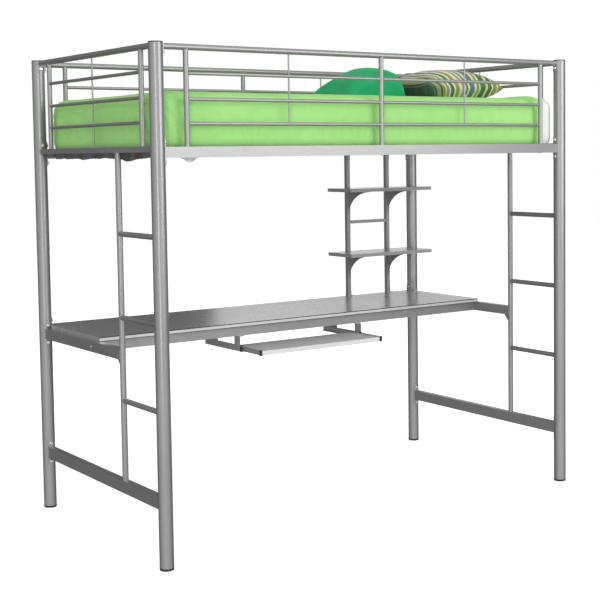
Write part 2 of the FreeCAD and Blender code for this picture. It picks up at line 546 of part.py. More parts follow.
# ----------------------------------------------------------------- shelf tower
low, high = "wallrail_low+mid_high", "side_low"
towers = [box_tube("tower_tube_%d" % k, "z", "tower_side", "tower_side", "tower_wall", "%s-(%s)" % (high, low), x, "post_half_y", low)
          for k, x in enumerate(("tower_left", "tower_right"))]
node(group("tower_set", towers), "shelf_uprights")
node(box_tube("tie_tube", "x", "tie_side", "tie_side", "tower_wall", "tower_right-tower_left-tower_side", "tower_left+tower_side/2", "post_half_y", "tie_high"), "shelf_upright_tie")
for key, label in (("shelf_low", "lower_shelf"), ("shelf_up", "upper_shelf")):
    b = new_body(label + "_board")
    sk = new_sketch(b, label + "_outline", "XY_Plane")
    outline(sk, [("shelf_left", "shelf_front"), ("shelf_right", "shelf_front"), ("shelf_right", "post_half_y-tower_side/2"), ("shelf_left", "post_half_y-tower_side/2")], "p")
    pad(b, sk, "shelf_thick", label + "_pad")
    place(b, 0, 0, key)
    node(b, label)

# quarter-round gusset with a narrow flange under the shelf
reach, drop, lip, thick = num("gusset_reach"), num("gusset_drop"), num("gusset_lip"), num("gusset_thick")
web = new_body("shelf_gusset")
sk = new_sketch(web, "shelf_gusset_outline", "YZ_Plane")
curve = []
for k in range(0, 13):
    a = math.radians(90.0 * k / 12)
    curve.append(("-(gusset_reach-gusset_lip*0.4)*%.6f" % (1 - math.sin(a)) + "-gusset_lip*0.4", "-(gusset_drop-gusset_lip)*%.6f-gusset_lip*0.5" % (1 - math.cos(a))))
outline(sk, [(0, "-2"), ("-gusset_reach", "-2")] + curve + [(0, "-gusset_drop")], "p")
pad(web, sk, "gusset_thick", "shelf_gusset_pad")
flange = block("gusset_flange_plate", "-gusset_flange/2+gusset_thick/2", "gusset_flange/2+gusset_thick/2", "-gusset_reach", 0, -2, 0)
back = block("gusset_back_plate", "-tower_side/2+gusset_thick/2+1", "tower_side/2+gusset_thick/2-1", -2, 0, "-gusset_drop", 0)
whole = fuse("shelf_gusset_whole", [web, flange, back])
spots = [(num(x) - thick / 2, num("post_half_y-tower_side/2"), num(z), FLAT) for x in ("tower_left", "tower_right") for z in ("shelf_low", "shelf_up")]
node(copies("shelf_gusset_set", whole, spots), "shelf_brackets")

# small angle brackets that tie the uprights to the bed rail and to the desk rail
angle_up = fuse("angle_bracket", [block("angle_leg", 0, 2.5, -8, 8, -26, 0), block("angle_foot", 0, 24, -8, 8, -2.5, 0)])
angle_low = fuse("foot_bracket", [block("foot_leg", 0, 2.5, -8, 8, 0, 22), block("foot_foot", 0, 20, -8, 8, 0, 2.5)])
spots_up = [(num(x) + num("tower_side/2"), PY, num("side_low"), FLAT) for x in ("tower_left", "tower_right")]
spots_low = [(num(x) + num("tower_side/2"), PY, num("wallrail_low+mid_high"), FLAT) for x in ("tower_left", "tower_right")]
node(cut("upright_angles_drilled", group("upright_angles", [copies("angles_up", angle_up, spots_up), copies("angles_low", angle_low, spots_low)]), small_screw_holes), "upright_brackets")

# ---------------------------------------------------------------- keyboard tray
cx = num("tray_mid")
left_web = "tray_mid-channel_half"
top_z = "channel_low+channel_high"
channel = fuse("channel_left_all", [
    block("channel_web", left_web, left_web + "+channel_wall", "channel_front", "channel_rear", "channel_low", top_z),
    block("channel_floor", left_web, left_web + "+channel_deep", "channel_front", "channel_rear", "channel_low", "channel_low+channel_wall"),
    block("channel_roof", left_web, left_web + "+channel_deep", "channel_front", "channel_rear", top_z + "-channel_wall", top_z),
    block("front_tab", left_web, left_web + "+channel_wall", "channel_front", "tab_front_end", top_z + "-channel_wall", "mid_low"),
    block("front_tab_flange", left_web, left_web + "+tab_flange", "channel_front", "tab_front_end", "mid_low-channel_wall", "mid_low"),
    block("rear_tab", left_web, left_web + "+channel_wall", "tab_rear_start", "channel_rear", top_z + "-channel_wall", "mid_low+mid_high"),
    block("rear_tab_flange", left_web, left_web + "+tab_flange", "tab_rear_start", "channel_rear", "mid_low+mid_high-channel_wall", "mid_low+mid_high"),
])
channel = node(cut("channel_left_drilled", channel, small_screw_holes), "tray_channel_left")
node(mirrored("channel_right_all", channel, (1, 0, 0), (cx, 0, 0)), "tray_channel_right")

bumper = cut("bumper_left", block("bumper_block", left_web + "-0.6", left_web + "+channel_deep+0.6", "channel_front-6", "channel_front", "channel_low-0.8", top_z + "+0.8"),
             block("bumper_window", left_web + "+channel_wall-0.2", left_web + "+channel_deep+5", "channel_front-7", "channel_front+1", "channel_low+1.8", top_z + "-1.4"))
node(group("bumper_pair", [bumper, mirrored("bumper_right", bumper, (1, 0, 0), (cx, 0, 0))]), "channel_bumpers")

sx0 = left_web + "+channel_wall+0.7"
slide = new_body("slide_member")
sk = new_sketch(slide, "slide_section", "XZ_Plane")
outline(sk, [(0, 0), ("slide_deep", 0), ("slide_deep", "slide_high"), (0, "slide_high"), (0, "slide_high-slide_wall"),
             ("slide_deep-slide_wall", "slide_high-slide_wall"), ("slide_deep-slide_wall", "slide_wall"), (0, "slide_wall")], "p")
pad(slide, sk, "slide_rear-slide_front", "slide_pad")
place(slide, sx0, "slide_rear", "slide_low")
node(slide, "tray_slide_left")
node(mirrored("slide_other", slide, (1, 0, 0), (cx, 0, 0)), "tray_slide_right")
inner_left = sx0 + "+slide_deep"
inner_right = "tray_mid+(tray_mid-(" + inner_left + "))"
node(block("tray_board", inner_left, inner_right, "slide_front+strip_deep", "tray_rear", "tray_low", "tray_low+tray_thick"), "keyboard_tray")
strip = new_body("tray_strip")
sk = new_sketch(strip, "tray_strip_section", "YZ_Plane")
outline(sk, [(0, 1), (1, 0), ("strip_deep", 0), ("strip_deep", "strip_high"), (2.2, "strip_high"), (0, "strip_high-2.2")], "p")
pad(strip, sk, "2*(tray_mid-(" + inner_left + "))", "tray_strip_pad")
place(strip, inner_left, "slide_front", "strip_low")
node(strip, "tray_front_strip")
tip = new_body("slide_tip")
sk = new_sketch(tip, "slide_tip_outline", "XZ_Plane")
outline(sk, [("-1.6", "strip_low-0.6"), ("slide_deep-0.2", "strip_low-0.6"), ("slide_deep-0.2", "strip_low+strip_high+3.4"), (0, "strip_low+strip_high+3.4"),
             ("-1.6", "strip_low+strip_high+1.8")], "p")
pad(tip, sk, "tip_thick", "slide_tip_pad")
place(tip, sx0, "slide_front", 0)
node(group("tip_pair", [tip, mirrored("slide_tip_other", tip, (1, 0, 0), (cx, 0, 0))]), "slide_end_caps")

# ---------------------------------------------------------------- bolt groups
for key in BOLTS:
    spots = []
    for sx, sy, way, z in BOLTS[key]:
        dx, dy = STEP[way]
        spots.append((sx * PX + dx * SEAT, sy * PY + dy * SEAT, z, AIM[way]))
    BOLTS[key] = spots
node(copies("upper_bolt_set", bolt, BOLTS["guard_bolts"] + BOLTS["bed_rail_bolts"]), "bed_frame_bolts")
node(copies("lower_bolt_set", bolt, BOLTS["lower_rail_bolts"] + BOLTS["desk_frame_bolts"]), "lower_frame_bolts")
node(group("bed_screws_all", [slat_screws, copies("stile_screw_set", short, STILE_SCREWS)]), "bed_screws")

node(copies("desk_screw_set", short, SMALL), "desk_and_shelf_screws")

# -------------------------------------------------------------------- bedding
def pillow_block(name, grow, low, high):
    return block(name, "-mattress_half_x-(%s)" % grow, "mattress_half_x+(%s)" % grow, "-mattress_half_y-(%s)" % grow, "mattress_half_y+(%s)" % grow, low, high)


def soft(name, base, upright, brim):
    f = doc.addObject("Part::Fillet", name + "_corners")
    f.Base = base
    doc.recompute()
    f.Edges = [(k + 1, upright, upright) for k, e in enumerate(base.Shape.Edges)
               if abs(e.Vertexes[0].Point.z - e.Vertexes[1].Point.z) > 1]
    doc.recompute()
    g = doc.addObject("Part::Fillet", name)
    g.Base = f
    topz = base.Shape.BoundBox.ZMax
    g.Edges = [(k + 1, brim, brim) for k, e in enumerate(f.Shape.Edges)
               if all(abs(v.Point.z - topz) < 0.01 for v in e.Vertexes) and abs(e.BoundBox.ZMin - topz) < 0.01]
    doc.recompute()
    return g


corner, brim = num("mattress_corner"), num("mattress_edge")
mattress = soft("mattress_shape", pillow_block("mattress_block", "0", "mattress_low", "mattress_top"), corner, brim)
node(mattress, "mattress")
outer = soft("cover_outside", pillow_block("cover_block", "cover_gap+cover_thick", "mattress_low", "mattress_top+cover_gap+cover_thick"),
             corner + 2.8, brim + 2.8)
inner = soft("cover_inside", pillow_block("cover_void", "cover_gap", "mattress_low-5", "mattress_top+cover_gap"), corner + 0.3, brim + 0.3)
shell = cut("cover_shell", outer, inner)
node(common("cover_trimmed", shell, block("cover_span", "-mattress_half_x-20", "cover_right", "-mattress_half_y-20", "mattress_half_y+20", "mattress_low-20", "mattress_top+40")),
     "mattress_cover")

# throw pillows: plain rounded solids that stand on the covered mattress
def cushion(name, label, x, y, z, rx, ry, rz, turn):
    e = doc.addObject("Part::Ellipsoid", name)
    e.Radius1, e.Radius2, e.Radius3 = rz, rx, ry
    e.Angle1, e.Angle2, e.Angle3 = -90, 90, 360
    e.Placement = FreeCAD.Placement(V(x, y, z), turn)
    return node(e, label)


bed_top = num("mattress_top+cover_gap+cover_thick")
cushion("pillow_a", "pillow_green", 262, -20, bed_top + 80, 200, 150, 78, FreeCAD.Rotation())
cushion("pillow_b", "pillow_striped", 721, -30, bed_top + 80, 225, 150, 78, FreeCAD.Rotation())

# -------------------------------------------------------------------- finish
doc.recompute()
bad = [o.Name for o in doc.Objects if "Invalid" in o.State or "Error" in o.State]
if bad:
    raise RuntimeError("objects in error: " + ", ".join(bad))
for o in NODES:
    if o.Shape.isNull() or not o.Shape.isValid() or not o.Shape.Solids:
        raise RuntimeError("bad shape: " + o.Label)
if len(set(o.Label for o in NODES)) != len(NODES):
    raise RuntimeError("labels clash")

os.makedirs("parts", exist_ok=True)
for o in NODES:
    o.Shape.exportStep(os.path.join("parts", o.Label + ".step"))
print(len(NODES), "parts written")
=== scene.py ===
import math

import bmesh
import bpy
import numpy as np
from mathutils import Matrix, Vector, noise
from mathutils.bvhtree import BVHTree


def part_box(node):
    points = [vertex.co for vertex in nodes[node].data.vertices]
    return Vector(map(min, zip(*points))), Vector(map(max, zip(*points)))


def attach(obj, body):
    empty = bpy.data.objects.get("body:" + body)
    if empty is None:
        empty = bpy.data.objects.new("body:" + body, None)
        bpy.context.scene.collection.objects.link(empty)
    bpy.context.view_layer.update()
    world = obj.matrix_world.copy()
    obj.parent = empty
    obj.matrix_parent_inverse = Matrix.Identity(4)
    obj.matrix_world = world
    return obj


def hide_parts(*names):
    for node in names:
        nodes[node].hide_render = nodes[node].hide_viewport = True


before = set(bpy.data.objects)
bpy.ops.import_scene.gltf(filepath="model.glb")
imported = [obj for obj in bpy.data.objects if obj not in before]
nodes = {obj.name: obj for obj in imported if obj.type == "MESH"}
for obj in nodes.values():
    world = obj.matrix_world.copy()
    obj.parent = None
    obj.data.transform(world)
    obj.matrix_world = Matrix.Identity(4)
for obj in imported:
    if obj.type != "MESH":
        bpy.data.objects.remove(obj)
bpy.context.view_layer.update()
scene = bpy.context.scene
BODY = "bed_frame"
SLOT_OF = {}
for name, o in nodes.items():
    SLOT_OF[name] = o.data.materials[0].name.split(".")[0] if o.data.materials else "silver_steel"
    o.data.materials.clear()
for old in list(bpy.data.materials):
    bpy.data.materials.remove(old)


# --------------------------------------------------------------- node helpers
class Mat:
    """Small builder for a procedural material."""

    def __init__(self, name):
        self.m = bpy.data.materials.new(name)
        self.m.use_nodes = True
        self.t = self.m.node_tree
        self.b = self.t.nodes["Principled BSDF"]
        self.co = self.add("ShaderNodeTexCoord").outputs["Object"]

    def add(self, kind, **props):
        n = self.t.nodes.new(kind)
        for k, v in props.items():
            setattr(n, k, v)
        return n

    def link(self, a, b):
        self.t.links.new(a, b)

    def noise(self, scale, detail=3.0, rough=0.5, co=None, stretch=None):
        n = self.add("ShaderNodeTexNoise")
        n.inputs["Scale"].default_value = scale
        n.inputs["Detail"].default_value = detail
        n.inputs["Roughness"].default_value = rough
        co = co or self.co
        if stretch:
            mp = self.add("ShaderNodeMapping")
            mp.inputs["Scale"].default_value = stretch
            self.link(co, mp.inputs["Vector"])
            co = mp.outputs["Vector"]
        self.link(co, n.inputs["Vector"])
        return n.outputs["Fac"]

    def remap(self, src, lo, hi, to_lo, to_hi):
        n = self.add("ShaderNodeMapRange")
        for k, v in (("From Min", lo), ("From Max", hi), ("To Min", to_lo), ("To Max", to_hi)):
            n.inputs[k].default_value = v
        self.link(src, n.inputs["Value"])
        return n.outputs["Result"]

    def mix(self, fac, a, b, blend="MIX"):
        n = self.add("ShaderNodeMix", data_type="RGBA", blend_type=blend)
        if isinstance(fac, (int, float)):
            n.inputs["Factor"].default_value = fac
        else:
            self.link(fac, n.inputs["Factor"])
        for v, key in ((a, "A"), (b, "B")):
            s = [i for i in n.inputs if i.name == key and i.type == "RGBA"][0]
            if isinstance(v, (tuple, list)):
                s.default_value = (*v, 1)
            else:
                self.link(v, s)
        return [o for o in n.outputs if o.type == "RGBA"][0]

    def math(self, op, a, b=None):
        n = self.add("ShaderNodeMath", operation=op)
        for k, v in enumerate((a, b)):
            if v is None:
                continue
            if isinstance(v, (int, float)):
                n.inputs[k].default_value = v
            else:
                self.link(v, n.inputs[k])
        return n.outputs[0]

    def bump(self, heights):
        """heights is a list of (output, distance in metres, strength)."""
        last = None
        for h, dist, strength in heights:
            n = self.add("ShaderNodeBump")
            n.inputs["Distance"].default_value = dist
            n.inputs["Strength"].default_value = strength
            self.link(h, n.inputs["Height"])
            if last is not None:
                self.link(last, n.inputs["Normal"])
            last = n.outputs["Normal"]
        self.link(last, self.b.inputs["Normal"])

    def set(self, **kw):
        for k, v in kw.items():
            s = self.b.inputs[k.replace("_", " ")]
            if isinstance(v, (int, float)) or (isinstance(v, tuple) and len(v) == 4):
                s.default_value = v
            elif isinstance(v, tuple):
                s.default_value = (*v, 1)
            else:
                self.link(v, s)


MATS = {}


def coat_paint(name, base, light, dark, metallic, rough, flake=1.0, wear=0.0):
    """Satin paint over steel: fine flake, slow tone drift, faint orange peel, rubbed high spots."""
    m = Mat(name)
    drift = m.noise(2.3, 3)
    fine = m.noise(900.0, 2)
    speck = m.noise(420.0, 1)
    col = m.mix(m.remap(drift, 0.3, 0.7, 0, 1), dark, light)
    col = m.mix(m.remap(fine, 0.40, 0.62, 0, 0.22 * flake), col, tuple(min(1, c * 1.25) for c in base))
    col = m.mix(m.remap(speck, 0.62, 0.72, 0, 0.30 * flake), col, tuple(c * 0.62 for c in base))
    scuff = m.noise(38.0, 6, 0.7)
    r = m.math("ADD", m.remap(drift, 0.3, 0.7, rough - 0.03, rough + 0.04), m.remap(scuff, 0.55, 0.75, 0.0, 0.10))
    m.set(Base_Color=col, Roughness=r, Metallic=metallic)
    m.b.inputs["Coat Weight"].default_value = 0.55
    m.b.inputs["Coat Roughness"].default_value = 0.16
    m.b.inputs["Coat IOR"].default_value = 1.45
    m.bump([(m.noise(260.0, 2), 0.0004, 0.10), (m.noise(26.0, 3), 0.0008, 0.05)])
    MATS[name] = m.m
    return m


def laminate(name, base, rough):
    """Grey printed laminate: very fine speckle under a smooth, slightly uneven film."""
    m = Mat(name)
    pores = m.noise(1400.0, 2)
    cloud = m.noise(5.0, 4, 0.55)
    brush = m.noise(60.0, 4, 0.6, stretch=(0.25, 6.0, 6.0))
    col = m.mix(m.remap(cloud, 0.3, 0.7, 0, 1), tuple(c * 0.98 for c in base), tuple(c * 1.02 for c in base))
    col = m.mix(m.remap(pores, 0.45, 0.65, 0, 0.20), col, tuple(c * 0.88 for c in base))
    col = m.mix(m.remap(brush, 0.35, 0.7, 0, 0.12), col, tuple(min(1, c * 1.2) for c in base))
    smudge = m.noise(9.0, 5, 0.6)
    m.set(Base_Color=col, Roughness=m.remap(smudge, 0.3, 0.75, rough - 0.02, rough + 0.03))
    m.b.inputs["Specular IOR Level"].default_value = 0.6
    m.b.inputs["Coat Weight"].default_value = 0.25
    m.b.inputs["Coat Roughness"].default_value = 0.18
    m.bump([(m.noise(500.0, 2), 0.0002, 0.02)])
    MATS[name] = m.m
    return m


def weave(m, pitch, co=None):
    """Plain weave: two crossed thread waves, offset so that they pass over and under."""
    waves = []
    for axis in ("X", "Z"):
        w = m.add("ShaderNodeTexWave", wave_type="BANDS", bands_direction=axis, wave_profile="SIN")
        w.inputs["Scale"].default_value = 0.314 / pitch
        w.inputs["Distortion"].default_value = 0.6
        w.inputs["Detail"].default_value = 1.0
        w.inputs["Detail Scale"].default_value = 1.5
        m.link(co or m.co, w.inputs["Vector"])
        waves.append(w.outputs["Fac"])
    y = m.add("ShaderNodeTexWave", wave_type="BANDS", bands_direction="Y", wave_profile="SIN")
    y.inputs["Scale"].default_value = 0.314 / pitch
    y.inputs["Distortion"].default_value = 0.6
    m.link(co or m.co, y.inputs["Vector"])
    return m.math("ADD", m.math("MULTIPLY", waves[0], 0.5), m.math("ADD", m.math("MULTIPLY", waves[1], 0.3), m.math("MULTIPLY", y.outputs["Fac"], 0.3)))


def cloth_finish(m, col, pitch, rough, sheen, tint, extra=()):
    slub = m.noise(170.0, 3, 0.6, stretch=(0.4, 1.0, 2.4))
    thread = weave(m, pitch)
    col = m.mix(m.remap(thread, 0.2, 0.9, 0.30, 0.0), col, m.mix(1.0, col, (0.70, 0.70, 0.70), "MULTIPLY"))
    col = m.mix(m.remap(slub, 0.50, 0.75, 0.0, 0.22), col, m.mix(1.0, col, (1.18, 1.18, 1.18), "MULTIPLY"))
    m.set(Base_Color=col, Roughness=m.remap(slub, 0.3, 0.7, rough - 0.04, rough + 0.04))
    m.b.inputs["Sheen Weight"].default_value = sheen
    m.b.inputs["Sheen Roughness"].default_value = 0.45
    m.b.inputs["Sheen Tint"].default_value = (*tint, 1)
    m.b.inputs["Specular IOR Level"].default_value = 0.25
    m.bump([(thread, 0.0006, 0.35), (slub, 0.0008, 0.20), *extra])
    MATS[m.m.name] = m.m


coat_paint("silver_steel", (0.282, 0.281, 0.283), (0.300, 0.299, 0.301), (0.264, 0.263, 0.265), 0.48, 0.32)
coat_paint("slide_steel", (0.46, 0.461, 0.463), (0.48, 0.481, 0.483), (0.440, 0.441, 0.443), 0.45, 0.32)
coat_paint("bright_edge", (0.68, 0.68, 0.67), (0.70, 0.70, 0.69), (0.66, 0.66, 0.65), 0.10, 0.34, 0.4)
m = coat_paint("trim_grey", (0.56, 0.56, 0.55), (0.58, 0.58, 0.57), (0.54, 0.54, 0.53), 0.25, 0.34, 0.4)
# near-black bands along the top and bottom of the desk's edge strip: partly dark joint seams, partly painted shadow
# lines along its edges
TLO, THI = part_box("desk_edge_trim")
sep = m.add("ShaderNodeSeparateXYZ")
m.link(m.co, sep.inputs[0])
# painted shadow lines drawn as near-black seams at the strip's top and bottom
seam = m.math("ADD", m.remap(sep.outputs["Z"], THI.z - 0.0036, THI.z - 0.0030, 0, 1), m.remap(sep.outputs["Z"], TLO.z + 0.0018, TLO.z + 0.0024, 1, 0))
m.set(Base_Color=m.mix(seam, m.b.inputs["Base Color"].links[0].from_socket, (0.012, 0.012, 0.012)))
coat_paint("bolt_zinc", (0.72, 0.72, 0.72), (0.78, 0.78, 0.78), (0.62, 0.62, 0.63), 0.95, 0.24, 0.5)
laminate("desk_laminate", (0.300, 0.303, 0.305), 0.26)
laminate("tray_laminate", (0.86, 0.86, 0.86), 0.34)

m = Mat("black_plastic")
grain = m.noise(700.0, 3)
m.set(Base_Color=m.mix(m.remap(grain, 0.35, 0.7, 0, 1), (0.010, 0.010, 0.011), (0.026, 0.026, 0.028)),
      Roughness=m.remap(m.noise(60.0, 4), 0.3, 0.7, 0.42, 0.58))
m.bump([(grain, 0.0004, 0.25)])
MATS["black_plastic"] = m.m

# green fitted cover: fresh green plain weave, a little yellower where it is rubbed
m = Mat("green_cotton")
tone = m.noise(4.5, 4, 0.55)
base = m.mix(m.remap(tone, 0.3, 0.7, 0, 1), (0.335, 0.690, 0.205), (0.375, 0.735, 0.240))
cloth_finish(m, base, 0.0011, 0.86, 0.25, (0.75, 1.0, 0.6), [(m.noise(22.0, 4, 0.6), 0.004, 0.12)])

# emerald pillow: solid vivid green, pin tucks are in its mesh
m = Mat("emerald_cotton")
tone = m.noise(7.0, 4)
base = m.mix(m.remap(tone, 0.3, 0.7, 0, 1), (0.003, 0.290, 0.100), (0.008, 0.370, 0.140))
cloth_finish(m, base, 0.0010, 0.72, 0.35, (0.4, 1.0, 0.6), [(m.noise(30.0, 4), 0.003, 0.15)])

# plain white knitted mattress ticking with a shallow diamond quilting
m = Mat("mattress_ticking")
tone = m.noise(6.0, 3)
quilt = []
for turn in (0.785, -0.785):
    mp = m.add("ShaderNodeMapping")
    mp.inputs["Rotation"].default_value = (0, 0, turn)
    m.link(m.co, mp.inputs["Vector"])
    w = m.add("ShaderNodeTexWave", wave_type="BANDS", bands_direction="X", wave_profile="SIN")
    w.inputs["Scale"].default_value = 4.5
    m.link(mp.outputs["Vector"], w.inputs["Vector"])
    quilt.append(w.outputs["Fac"])
cells = m.math("MULTIPLY", m.math("POWER", quilt[0], 0.25), m.math("POWER", quilt[1], 0.25))
base = m.mix(m.remap(tone, 0.3, 0.7, 0, 1), (0.76, 0.76, 0.75), (0.82, 0.82, 0.80))
cloth_finish(m, base, 0.0014, 0.88, 0.15, (1, 1, 1), [(cells, 0.004, 0.35)])

# underside cloth that shows as a rumpled hem below the bed rail: its pale cloth is painted dark grey, painted shade
# for the shadow under the mattress
m = Mat("painted_shade_underside_cloth")
tone = m.noise(18.0, 4)
# painted shade: dark greys stand in for the shadow that falls on this pale cloth
base = m.mix(m.remap(tone, 0.3, 0.7, 0, 1), (0.055, 0.057, 0.055), (0.15, 0.152, 0.15))
cloth_finish(m, base, 0.0012, 0.88, 0.1, (1, 1, 1), [(m.noise(60.0, 4), 0.003, 0.3)])

SLOT_OF["desk_edge_trim"] = "trim_grey"
for name, o in nodes.items():
    if SLOT_OF[name] in MATS:
        o.data.materials.append(MATS[SLOT_OF[name]])
    elif name != "pillow_striped":
        print("no finish for", name, SLOT_OF[name])
        o.data.materials.append(MATS["silver_steel"])

# ------------------------------------------------------------------ soft goods
MLO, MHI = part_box("mattress")
CLO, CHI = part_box("mattress_cover")
COVER_TOP = CHI.z
COVER_END = CHI.x
MC = (MLO + MHI) / 2


def new_object(name, verts, faces, material, smooth=True):
    me = bpy.data.meshes.new(name)
    me.from_pydata([tuple(v) for v in verts], [], [tuple(f) for f in faces])
    me.validate()
    o = bpy.data.objects.new(name, me)
    scene.collection.objects.link(o)
    me.materials.append(MATS[material])
    if smooth:
        me.shade_smooth()
    return o


def get_co(o):
    co = np.zeros(len(o.data.vertices) * 3)
    o.data.vertices.foreach_get("co", co)
    return co.reshape(-1, 3)


def set_co(o, co):
    o.data.vertices.foreach_set("co", np.ascontiguousarray(co, dtype=np.float32).ravel())
    o.data.update()


def get_no(o):
    no = np.zeros(len(o.data.vertices) * 3)
    o.data.vertices.foreach_get("normal", no)
    return no.reshape(-1, 3)


def apply_all(o):
    dg = bpy.context.evaluated_depsgraph_get()
    me = bpy.data.meshes.new_from_object(o.evaluated_get(dg))
    old = o.data
    o.modifiers.clear()
    o.data = me
    me.name = o.name
    bpy.data.meshes.remove(old)
    o.data.shade_smooth()
    return o


def remesh(o, size):
    r = o.modifiers.new("voxels", "REMESH")
    r.mode = "VOXEL"
    r.voxel_size = size
    r.use_smooth_shade = True
    return apply_all(o)


def subdivide(o, levels=1):
    s = o.modifiers.new("smooth", "SUBSURF")
    s.levels = s.render_levels = levels
    return apply_all(o)


def inflate(o, pressure, cap, frames=20, stiff=8.0, bend=0.4):
    """Stuffing: cloth under inside pressure, with no gravity, and no point moving more than cap."""
    start = get_co(o)
    c = o.modifiers.new("fill", "CLOTH")
    s = c.settings
    s.quality = 5
    s.mass = 0.25
    s.use_pressure = True
    s.uniform_pressure_force = pressure
    s.tension_stiffness = s.compression_stiffness = stiff
    s.shear_stiffness = stiff * 0.5
    s.bending_stiffness = bend
    s.effector_weights.gravity = 0
    c.collision_settings.use_collision = False
    c.collision_settings.use_self_collision = False
    c.point_cache.frame_start, c.point_cache.frame_end = 1, frames
    for f in range(1, frames + 1):
        scene.frame_set(f)
    dg = bpy.context.evaluated_depsgraph_get()
    ev = o.evaluated_get(dg)
    moved = np.zeros(len(ev.data.vertices) * 3)
    ev.data.vertices.foreach_get("co", moved)
    moved = moved.reshape(-1, 3)
    o.modifiers.remove(c)
    scene.frame_set(1)
    if moved.shape != start.shape or not np.isfinite(moved).all():
        return o
    d = moved - start
    n = np.linalg.norm(d, axis=1, keepdims=True)
    d *= np.minimum(1.0, cap / np.maximum(n, 1e-9))
    set_co(o, start + d)
    return o


def rounded_box(lo, hi, corner, brim, steps, bottom_brim=None):
    """Closed box with rounded uprights and crowned top and bottom edges, as a dense mesh."""
    nx, ny, nz = steps
    bm = bmesh.new()
    grid = {}

    def vert(i, j, k):
        key = (i, j, k)
        if key not in grid:
            grid[key] = bm.verts.new((i / nx, j / ny, k / nz))
        return grid[key]

    for k, kk in ((0, True), (nz, False)):
        for i in range(nx):
            for j in range(ny):
                q = [vert(i, j, k), vert(i + 1, j, k), vert(i + 1, j + 1, k), vert(i, j + 1, k)]
                bm.faces.new(q[::-1] if kk else q)
    for j, flip in ((0, False), (ny, True)):
        for i in range(nx):
            for k in range(nz):
                q = [vert(i, j, k), vert(i + 1, j, k), vert(i + 1, j, k + 1), vert(i, j, k + 1)]
                bm.faces.new(q[::-1] if flip else q)
    for i, flip in ((0, True), (nx, False)):
        for j in range(ny):
            for k in range(nz):
                q = [vert(i, j, k), vert(i, j + 1, k), vert(i, j + 1, k + 1), vert(i, j, k + 1)]
                bm.faces.new(q[::-1] if flip else q)
    me = bpy.data.meshes.new("box")
    bm.to_mesh(me)
    bm.free()
    u = np.zeros(len(me.vertices) * 3)
    me.vertices.foreach_get("co", u)
    u = u.reshape(-1, 3)
    lo, hi = np.array(lo), np.array(hi)
    c, h = (lo + hi) / 2, (hi - lo) / 2
    p = (u * 2 - 1) * h
    ax = np.abs(p[:, :2])
    inner = h[:2] - corner
    over = np.maximum(ax - inner, 0)
    dist = np.linalg.norm(over, axis=1)
    out = dist - corner
    fix = (over.min(axis=1) > 0) & (out > 0)
    scale = np.ones(len(p))
    scale[fix] = corner / dist[fix]
    p[:, :2] = np.sign(p[:, :2]) * (np.minimum(ax, inner) + over * scale[:, None])
    ax = np.abs(p[:, :2])
    over = np.maximum(ax - inner, 0)
    inside = np.where(over.min(axis=1) > 0, corner - np.linalg.norm(over, axis=1), np.min(h[:2] - ax, axis=1))
    for sign, r in ((1, brim), (-1, bottom_brim or brim)):
        top = h[2] * sign
        near = np.abs(p[:, 2] - top) < 1e-9
        t = np.clip(inside / r, 0, 1)
        drop = r - np.sqrt(np.maximum(r * r - (r * (1 - t)) ** 2, 0))
        p[near, 2] = (top - sign * drop)[near]
        side = ~near & (np.sign(p[:, 2]) == sign)
        p[side, 2] = np.where(np.abs(p[side, 2]) > h[2] - r, sign * (h[2] - r) * 1.0 + 0 * p[side, 2], p[side, 2])
    me.vertices.foreach_set("co", (p + c).astype(np.float32).ravel())
    me.update()
    return me


def wave_noise(co, scale, seed):
    return np.array([noise.noise(Vector((x * scale + seed, y * scale, z * scale))) for x, y, z in co])


# mattress: remeshed, stuffed, then its tape edges are sewn on
me = rounded_box((MLO.x + 0.006, MLO.y + 0.006, MLO.z + 0.001), (MHI.x - 0.006, MHI.y - 0.006, MHI.z - 0.005),
                 0.062, 0.036, (96, 50, 12), 0.028)
mat_ob = bpy.data.objects.new("mattress_body", me)
scene.collection.objects.link(mat_ob)
me.materials.append(MATS["mattress_ticking"])
remesh(mat_ob, 0.0125)
inflate(mat_ob, 4.0, 0.006, 12, 20.0, 2.0)
co = get_co(mat_ob)
co[:, 2] = np.clip(co[:, 2], MLO.z + 0.0006, MHI.z)
co[:, 0] = np.clip(co[:, 0], MLO.x, MHI.x)
co[:, 1] = np.clip(co[:, 1], MLO.y, MHI.y)
# the bare right end stands fuller than what the cover holds in: squarer corners
cx, cy = MHI.x - 0.068, MHI.y - 0.068
ca, cb = np.maximum(co[:, 0] - cx, 0) / 0.062, np.maximum(np.abs(co[:, 1]) - cy, 0) / 0.062
both = (ca > 1e-5) & (cb > 1e-5)
grow = np.hypot(ca[both], cb[both]) / (ca[both] ** 6 + cb[both] ** 6) ** (1 / 6)
co[both, 0] = cx + ca[both] * grow * 0.062
co[both, 1] = np.sign(co[both, 1]) * (cy + cb[both] * grow * 0.062)
co[:, 0] += 0.012 * np.clip((co[:, 0] - COVER_END) / 0.045, 0, 1)
bare = np.clip((co[:, 0] - COVER_END - 0.004) / 0.02, 0, 1)
co[:, 1] *= 1 + 0.026 * bare
co[:, 2] += 0.013 * bare * np.clip((co[:, 2] - MC.z) / 0.09, 0, 1)
set_co(mat_ob, co)
mat_ob.data.materials.clear()
mat_ob.data.materials.append(MATS["mattress_ticking"])
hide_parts("mattress")
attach(mat_ob, BODY)


